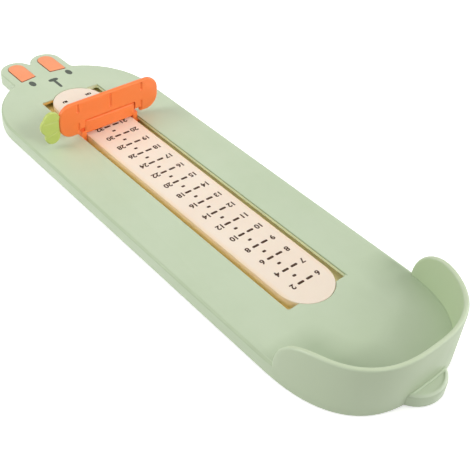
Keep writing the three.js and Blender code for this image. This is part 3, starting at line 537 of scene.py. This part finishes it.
def heel_share(tree, x, y, inset):
    """How far out a point lies in the heel's plan: one is the outline moved in by the inset."""
    across = size_of(tree, maths(tree, "DIVIDE", x, HEEL_HALF_WIDTH - inset))
    behind = maths(tree, "SUBTRACT", SCALE_ZERO_Y + HEEL_START_Y, y)
    along = maths(tree, "DIVIDE", maths(tree, "MAXIMUM", behind, 0.0), HEEL_LENGTH - inset)
    wide = maths(tree, "POWER", across, HEEL_POWER)
    long = maths(tree, "POWER", along, HEEL_POWER)
    return maths(tree, "POWER", maths(tree, "ADD", wide, long), 1 / HEEL_POWER)


def cup_floor_shade(tree, x, y, height, up, share):
    """Painted shade, denser towards the cup's wall, wider on the left and further ahead on the
    right.
    """
    start = SCALE_ZERO_Y + CUP_FULL_Y
    end = SCALE_ZERO_Y + CUP_TIP_Y
    ahead = maths(tree, "SUBTRACT", y, rise(tree, x, *CUP_LEAD_X, CUP_SHADE_LEAD))
    back = fall(tree, ahead, start, end)
    inside = less(tree, share, CUP_REACH_SHARE)
    level = less(tree, size_of(tree, height), CUP_FLOOR_BAND)
    leaning = maths(tree, "ADD", share, spread(tree, x, CUP_LEAN, 0, *CUP_LEAN_X))
    depth = rise(tree, leaning, *CUP_SHADE_SHARES, CUP_SHADE_TONE)
    return product(tree, back, inside, level, up, depth)


def cup_tints(tree, x, y, height, up):
    """Painted shade on the cup's walls, floor and crease; painted light on its rim, on the tail and
    in the tail's line.
    """
    share = heel_share(tree, x, y, CUP_THICKNESS)
    outer_share = heel_share(tree, x, y, 0.0)
    back = fall(tree, y, SCALE_ZERO_Y + CUP_FULL_Y, SCALE_ZERO_Y + CUP_TIP_Y)
    inside = product(tree, back, less(tree, share, CUP_REACH_SHARE))
    upright = fall(tree, up, *CUP_WALL_FACING)
    flat = product(tree, back, more(tree, up, TAIL_FACING))

    # Painted shade on the floor, on the inner and outer walls, and in the crease at the wall's foot
    shade = cup_floor_shade(tree, x, y, height, up, share)
    raised = more(tree, height, CUP_FLOOR_BAND)
    wall = product(tree, inside, raised, upright, CUP_WALL_SHADE)
    outer_wall_shade = product(tree, back, between(tree, outer_share, *CUP_OUTER_SHADE_SHARES), upright)
    low = between(tree, height, *CUP_CREASE_SHADE_BAND)
    crease = product(tree, inside, low, more(tree, share, CUP_CORNER_SHARE))
    # Painted highlight on the rim
    crest = product(tree, back, more(tree, height, CUP_RIM_START))
    rim = product(tree, crest, rise(tree, up, *CUP_RIM_FACING, CUP_RIM_HIGHLIGHT))
    # Painted light on the tail's top, and a painted highlight line where it meets the wall
    tail = product(tree, flat, less(tree, y, SCALE_ZERO_Y + CUP_BACK_Y), TAIL_PAINTED_LIGHT)
    outside = between(tree, outer_share, *TAIL_HIGHLIGHT_SHARES)
    beside = between(tree, x, *TAIL_HIGHLIGHT_X)
    line = product(tree, outside, flat, less(tree, height, TAIL_HIGHLIGHT_HEIGHT), beside)
    return [
        (shade, (170, 186, 154)),
        (wall, (188, 206, 166)),
        (outer_wall_shade, (191, 205, 174)),
        (crease, (164, 182, 146)),
        (rim, (208, 221, 187)),
        (tail, (212, 225, 198)),
        (line, (227, 239, 214)),
    ]


def sage_board():
    """The board's plastic, with light and shade painted by where it lies: slot, outer edge, heel
    cup and tail.
    """
    material = moulded_plastic("sage_plastic", (200, 214, 185), (195, 210, 179), 0.38)
    tree, shader = opened(material)
    x = coordinate(tree, "X")
    y = coordinate(tree, "Y")
    height = maths(tree, "SUBTRACT", coordinate(tree, "Z"), BOARD_TOP)
    up = facing_up(tree)
    tint(tree, shader, slot_tints(tree, x, y, height))
    tint(tree, shader, edge_tints(tree, x, height, up))
    tint(tree, shader, cup_tints(tree, x, y, height, up))
    return material


def rail_reach(tree, x, y):
    """Distance from the rail's middle line, which joins the centres of its round ends."""
    middle = SCALE_ZERO_Y + (RAIL_START_Y + RAIL_END_Y) / 2
    straight = (RAIL_END_Y - RAIL_START_Y) / 2 - RAIL_HALF_WIDTH
    along = size_of(tree, maths(tree, "SUBTRACT", y, middle))
    beyond = maths(tree, "MAXIMUM", maths(tree, "SUBTRACT", along, straight), 0.0)
    squares = maths(tree, "MULTIPLY_ADD", beyond, beyond, product(tree, x, x))
    return maths(tree, "SQRT", squares)


def cream_tray():
    """The tray's cream plastic, with warm bounce light painted near the rail's edges, deepening to
    honey down in the channel.
    """
    material = moulded_plastic("cream_plastic", (248, 233, 215), (245, 227, 208), 0.42, 0.05)
    tree, shader = opened(material)
    x = coordinate(tree, "X")
    height = maths(tree, "SUBTRACT", coordinate(tree, "Z"), RAIL_TOP)
    reach = rail_reach(tree, x, coordinate(tree, "Y"))
    seen = more(tree, facing_up(tree), UNDERSIDE_FACING)
    channel = product(tree, seen, more(tree, reach, RAIL_HALF_WIDTH - RAIL_EDGE))
    # Painted warm bounce light on the rail's top near its edges
    border = rise(tree, size_of(tree, x), *RAIL_BORDER_X, RAIL_BORDER_BOUNCE)
    # Painted warm bounce light down the rail's sides and on the channel's floor, paler on the right
    warm = product(tree, channel, fall(tree, height, *CHANNEL_WARM_FADE))
    deep = product(tree, channel, fall(tree, height, *CHANNEL_DEEP_FADE))
    floor = product(tree, channel, fall(tree, height, *CHANNEL_FLOOR_FADE))
    right = product(tree, deep, more(tree, x, 0.0))
    tones = [
        (border, (248, 220, 184)),
        (warm, (255, 225, 180)),
        (deep, (255, 227, 158)),
        (floor, (255, 226, 146)),
        (right, (255, 242, 182)),
    ]
    tint(tree, shader, tones)
    return material


def ear_plastic():
    """Pale orange plastic whose thin standing sides have painted shade."""
    material = moulded_plastic("pale_orange_plastic", (250, 160, 113), (246, 152, 105), 0.5)
    tree, shader = opened(material)
    # Painted shade on the inlay's standing sides
    side = fall(tree, facing_up(tree), *INLAY_SIDE_FACING)
    tint(tree, shader, [(side, (158, 88, 64))])
    return material


def leaf_plastic():
    """Yellow-green plastic with sunken creases between the leaf's lobes, painted pale as a
    highlight.
    """
    material = moulded_plastic("leaf_plastic", (194, 209, 110), (186, 202, 102), 0.4)
    tree, shader = opened(material)
    x = maths(tree, "SUBTRACT", coordinate(tree, "X"), panel_low.x)
    height = maths(tree, "SUBTRACT", coordinate(tree, "Z"), BOARD_TOP)
    creases = []
    for level, slope, reach in LEAF_CREASES:
        line = maths(tree, "MULTIPLY_ADD", x, slope, height)
        low = level - LEAF_CREASE_HALF_WIDTH
        high = level + LEAF_CREASE_HALF_WIDTH
        band = between(tree, line, low, high, LEAF_CREASE_SOFT)
        there = between(tree, x, -reach, -LEAF_CREASE_START, LEAF_CREASE_END_SOFT)
        creases.append(product(tree, band, there))
    crease = maths(tree, "MAXIMUM", *creases)
    # The pale colour along the creases is a painted highlight
    tint(tree, shader, [(product(tree, crease, LEAF_CREASE_HIGHLIGHT), (205, 216, 134))])
    node = tree.nodes.new("ShaderNodeBump")
    node.inputs["Strength"].default_value = LEAF_CREASE_STRENGTH
    node.inputs["Distance"].default_value = LEAF_CREASE_DEPTH
    node.invert = True
    tree.links.new(crease, node.inputs["Height"])
    tree.links.new(shader.inputs["Normal"].links[0].from_socket, node.inputs["Normal"])
    tree.links.new(node.outputs["Normal"], shader.inputs["Normal"])
    return material


SAGE = sage_board()
CREAM = cream_tray()
ORANGE = moulded_plastic("orange_plastic", (255, 134, 66), (255, 128, 59), 0.38)
PALE_ORANGE = ear_plastic()
LEAF = leaf_plastic()
BROWN_INK = printed_ink("brown_ink", (68, 44, 28), (84, 60, 42))
FACE_INK = printed_ink("face_ink", (84, 92, 82), (98, 106, 95))
RUBBER = grey_rubber()
STEEL = bright_steel()


# Finish of the moulded pieces


def smooth_group(angle):
    """Geometry nodes that shade smooth where faces meet at less than the angle, in degrees."""
    group = bpy.data.node_groups.new("smooth_edges", "GeometryNodeTree")
    group.interface.new_socket("Geometry", in_out="INPUT", socket_type="NodeSocketGeometry")
    group.interface.new_socket("Geometry", in_out="OUTPUT", socket_type="NodeSocketGeometry")
    source = group.nodes.new("NodeGroupInput")
    result = group.nodes.new("NodeGroupOutput")
    faces = group.nodes.new("GeometryNodeSetShadeSmooth")
    edges = group.nodes.new("GeometryNodeSetShadeSmooth")
    edges.domain = "EDGE"
    bend = group.nodes.new("GeometryNodeInputMeshEdgeAngle")
    gentle = group.nodes.new("FunctionNodeCompare")
    gentle.data_type = "FLOAT"
    gentle.operation = "LESS_THAN"
    gentle.inputs[1].default_value = math.radians(angle)
    link = group.links.new
    link(source.outputs[0], faces.inputs["Geometry"])
    link(faces.outputs[0], edges.inputs["Geometry"])
    link(bend.outputs["Unsigned Angle"], gentle.inputs[0])
    link(gentle.outputs["Result"], edges.inputs["Shade Smooth"])
    link(edges.outputs[0], result.inputs[0])
    return group


SMOOTH = smooth_group(SMOOTH_ANGLE)


def dress(name, material, bevel=0.0):
    """Gives a moulded piece its material, welds its split corners and softens its hard edges."""
    piece = nodes[name]
    if "custom_normal" in piece.data.attributes:
        piece.data.attributes.remove(piece.data.attributes["custom_normal"])
    piece.data.materials.clear()
    piece.data.materials.append(material)
    weld = piece.modifiers.new("weld", "WELD")
    weld.merge_threshold = WELD_DISTANCE
    if bevel:
        edge = piece.modifiers.new("edge", "BEVEL")
        edge.width = bevel
        edge.segments = BEVEL_SEGMENTS
        edge.limit_method = "ANGLE"
        edge.angle_limit = math.radians(BEVEL_ANGLE)
        edge.use_clamp_overlap = True
        edge.miter_outer = "MITER_ARC"
    shade = piece.modifiers.new("smooth", "NODES")
    shade.node_group = SMOOTH


def dress_all():
    dress("base_board", SAGE)
    dress("scale_tray", CREAM)
    dress("ear_inlay_left", PALE_ORANGE)
    dress("ear_inlay_right", PALE_ORANGE)
    dress("slider_saddle", ORANGE, SADDLE_BEVEL)
    dress("hinge_pin", STEEL)
    dress("carrot_panel", ORANGE)
    dress("carrot_leaf", LEAF)
    for name in nodes:
        if name.startswith("tray_screw"):
            dress(name, STEEL)
        if name.startswith("rubber_foot"):
            dress(name, RUBBER, FOOT_BEVEL)


# Print


def add_object(name, data):
    thing = bpy.data.objects.new(name, data)
    bpy.context.scene.collection.objects.link(thing)
    return thing


def add_mesh(name, shape, material):
    """Turns a finished shape into an object of the scene with one material."""
    data = bpy.data.meshes.new(name)
    shape.to_mesh(data)
    shape.free()
    data.materials.append(material)
    return add_object(name, data)


def plate_from(name, outlines, top, material, body="board"):
    """Thin printed shapes in one piece: each outline is a list of (x, y), counterclockwise."""
    plate = bmesh.new()
    for outline in outlines:
        upper = [plate.verts.new((x, y, top)) for x, y in outline]
        lower = [plate.verts.new((x, y, top - PRINT_THICKNESS)) for x, y in outline]
        plate.faces.new(upper)
        plate.faces.new(list(reversed(lower)))
        for i, corner in enumerate(upper):
            j = (i + 1) % len(upper)
            plate.faces.new((upper[j], corner, lower[i], lower[j]))
    piece = add_mesh(name, plate, material)
    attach(piece, body)


def rounded_bar(x, y, length, width, steps=6):
    """A bar along X with softly rounded ends."""
    radius = width * DASH_ROUNDING
    points = []
    corners = ((1, 1, 0), (-1, 1, 90), (-1, -1, 180), (1, -1, 270))
    for side_x, side_y, start in corners:
        centre_x = x + side_x * (length / 2 - radius)
        centre_y = y + side_y * (width / 2 - radius)
        for step in range(steps + 1):
            angle = math.radians(start + 90 * step / steps)
            point = (centre_x + radius * math.cos(angle), centre_y + radius * math.sin(angle))
            points.append(point)
    return points


def oval(x, y, width, length, steps=36, power=2.0):
    """An ellipse, or a fuller oval where the power is more than two."""
    points = []
    for step in range(steps):
        angle = 2 * math.pi * step / steps
        across = math.cos(angle)
        along = math.sin(angle)
        point_x = x + width / 2 * math.copysign(abs(across) ** (2 / power), across)
        point_y = y + length / 2 * math.copysign(abs(along) ** (2 / power), along)
        points.append((point_x, point_y))
    return points


def row_y(cm):
    return SCALE_ZERO_Y + cm * ROW_PITCH


def shoe_size(cm):
    return 2 * cm - 10


def print_marks():
    bars = []
    for cm in range(FIRST_CM, LAST_CM + 1):
        for side in (-1, 1):
            x = PRINT_SHIFT_X + side * DASH_X
            bars.append(rounded_bar(x, row_y(cm), DASH_LENGTH, DASH_WIDTH))
        if cm < LAST_CM:
            x = PRINT_SHIFT_X + HALF_MARK_X
            bars.append(rounded_bar(x, row_y(cm + 0.5), HALF_MARK_LENGTH, DASH_WIDTH))
    plate_from("scale_marks", bars, RAIL_TOP + PRINT_LIFT, BROWN_INK)


def text_mesh(text, x, y, height, weight):
    """Digits or a unit in the built-in typeface, turned to be read from the ears' end."""
    curve = bpy.data.curves.new("digits", "FONT")
    curve.body = text
    curve.align_x = "CENTER"
    curve.align_y = "CENTER"
    curve.size = height * TYPE_SIZE_PER_HEIGHT
    curve.space_character = DIGIT_SPACING
    curve.offset = weight
    curve.extrude = PRINT_THICKNESS / 2
    curve.resolution_u = DIGIT_STEPS
    holder = add_object("digits", curve)
    bpy.context.view_layer.update()
    depsgraph = bpy.context.evaluated_depsgraph_get()
    data = bpy.data.meshes.new_from_object(holder.evaluated_get(depsgraph))
    bpy.data.objects.remove(holder)
    low = min(v.co.x for v in data.vertices), min(v.co.y for v in data.vertices)
    high = max(v.co.x for v in data.vertices), max(v.co.y for v in data.vertices)
    centre = Vector(((low[0] + high[0]) / 2, (low[1] + high[1]) / 2, 0))
    fit = height / (high[1] - low[1])
    place = Matrix.Translation((x, y, RAIL_TOP + PRINT_LIFT / 2))
    turn = Matrix.Rotation(math.pi, 4, "Z")
    size = Matrix.Diagonal((fit * DIGIT_STRETCH, fit, 1, 1))
    data.transform(place @ turn @ size @ Matrix.Translation(-centre))
    return data


def print_numbers():
    words = [
        ("EU", SIZE_UNIT_X, SCALE_ZERO_Y + UNIT_Y, UNIT_HEIGHT, UNIT_WEIGHT),
        ("CM", LENGTH_UNIT_X, SCALE_ZERO_Y + UNIT_Y, UNIT_HEIGHT, UNIT_WEIGHT),
    ]
    for cm in range(FIRST_CM, LAST_CM + 1):
        words.append((str(cm), CM_X, row_y(cm), DIGIT_HEIGHT, DIGIT_WEIGHT))
        words.append((str(shoe_size(cm)), SHOE_X, row_y(cm), DIGIT_HEIGHT, DIGIT_WEIGHT))
    whole = bmesh.new()
    for text, x, y, height, weight in words:
        data = text_mesh(text, PRINT_SHIFT_X + x, y, height, weight)
        whole.from_mesh(data)
        bpy.data.meshes.remove(data)
    for face in whole.faces:
        face.material_index = 0
    piece = add_mesh("scale_numbers", whole, BROWN_INK)
    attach(piece, "board")


def print_face():
    top = BOARD_TOP + PRINT_LIFT
    eye_y = SCALE_ZERO_Y + EYE_Y
    nose_y = SCALE_ZERO_Y + NOSE_Y
    eyes = [oval(FACE_X + side * EYE_X, eye_y, EYE_WIDTH, EYE_LENGTH) for side in (-1, 1)]
    nose = oval(FACE_X, nose_y, NOSE_WIDTH, NOSE_LENGTH, power=NOSE_POWER)
    stem_length = NOSE_Y - STEM_END_Y
    stem_y = nose_y - stem_length / 2
    stem = oval(FACE_X, stem_y, STEM_WIDTH, stem_length, power=STEM_POWER)
    plate_from("rabbit_eyes", eyes, top, FACE_INK)
    plate_from("rabbit_nose", [nose], top, FACE_INK)
    plate_from("rabbit_mouth", [stem], top + STEM_LIFT, FACE_INK)


# Floor, light and camera


def make_floor():
    size = FLOOR_REACH
    plane = bmesh.new()
    corners = ((-size, -size), (size, -size), (size, size), (-size, size))
    plane.faces.new([plane.verts.new((x, y, 0)) for x, y in corners])
    floor = add_mesh("floor", plane, pale_floor())


def hang_lamp(name, light, place, target):
    """Places a lamp and turns it to face the target."""
    lamp = add_object(name, light)
    lamp.location = place
    away = Vector(place) - Vector(target)
    lamp.rotation_euler = away.to_track_quat("Z", "Y").to_euler()


def area_light(name, place, width, length, power):
    """A softbox that faces the origin."""
    light = bpy.data.lights.new(name, "AREA")
    light.shape = "RECTANGLE"
    light.size = width
    light.size_y = length
    light.energy = power
    hang_lamp(name, light, place, (0, 0, 0))


def spot_light(name, place, target, angle, power):
    """A soft round lamp that lights only a part of the board."""
    light = bpy.data.lights.new(name, "SPOT")
    light.energy = power
    light.shadow_soft_size = SPOT_RADIUS
    light.spot_size = math.radians(angle)
    light.spot_blend = 1.0
    hang_lamp(name, light, place, target)


def make_light():
    world = bpy.data.worlds.new("studio")
    world.use_nodes = True
    tree = world.node_tree
    background = tree.nodes["Background"]
    background.inputs["Color"].default_value = (1, 1, 1, 1)
    strength = spread(tree, seen_directly(tree), WORLD_LEVEL, 1.0, 0, 1)
    tree.links.new(strength, background.inputs["Strength"])
    bpy.context.scene.world = world
    for softbox in SOFTBOXES:
        area_light(*softbox)
    spot_light("stop_spot", SPOT_PLACE, SPOT_TARGET, SPOT_ANGLE, SPOT_POWER)


def make_camera():
    azimuth = math.radians(CAMERA_AZIMUTH)
    elevation = math.radians(CAMERA_ELEVATION)
    roll = math.radians(CAMERA_ROLL)
    back_x = math.sin(azimuth) * math.cos(elevation)
    back_y = -math.cos(azimuth) * math.cos(elevation)
    back = Vector((back_x, back_y, math.sin(elevation)))
    right = Vector((0, 0, 1)).cross(back).normalized()
    up = back.cross(right)
    rolled_right = math.cos(roll) * right + math.sin(roll) * up
    rolled_up = math.cos(roll) * up - math.sin(roll) * right
    turn = Matrix((rolled_right, rolled_up, back)).transposed()
    data = bpy.data.cameras.new("camera")
    data.lens = CAMERA_LENS
    data.sensor_width = SENSOR_WIDTH
    data.clip_start = CLIP_START
    camera = add_object("camera", data)
    camera.matrix_world = Matrix.Translation(CAMERA_PLACE) @ turn.to_4x4()
    bpy.context.scene.camera = camera


make_camera()
make_light()
make_floor()
dress_all()
print_marks()
print_numbers()
print_face()
bpy.context.scene.view_settings.view_transform = "Standard"
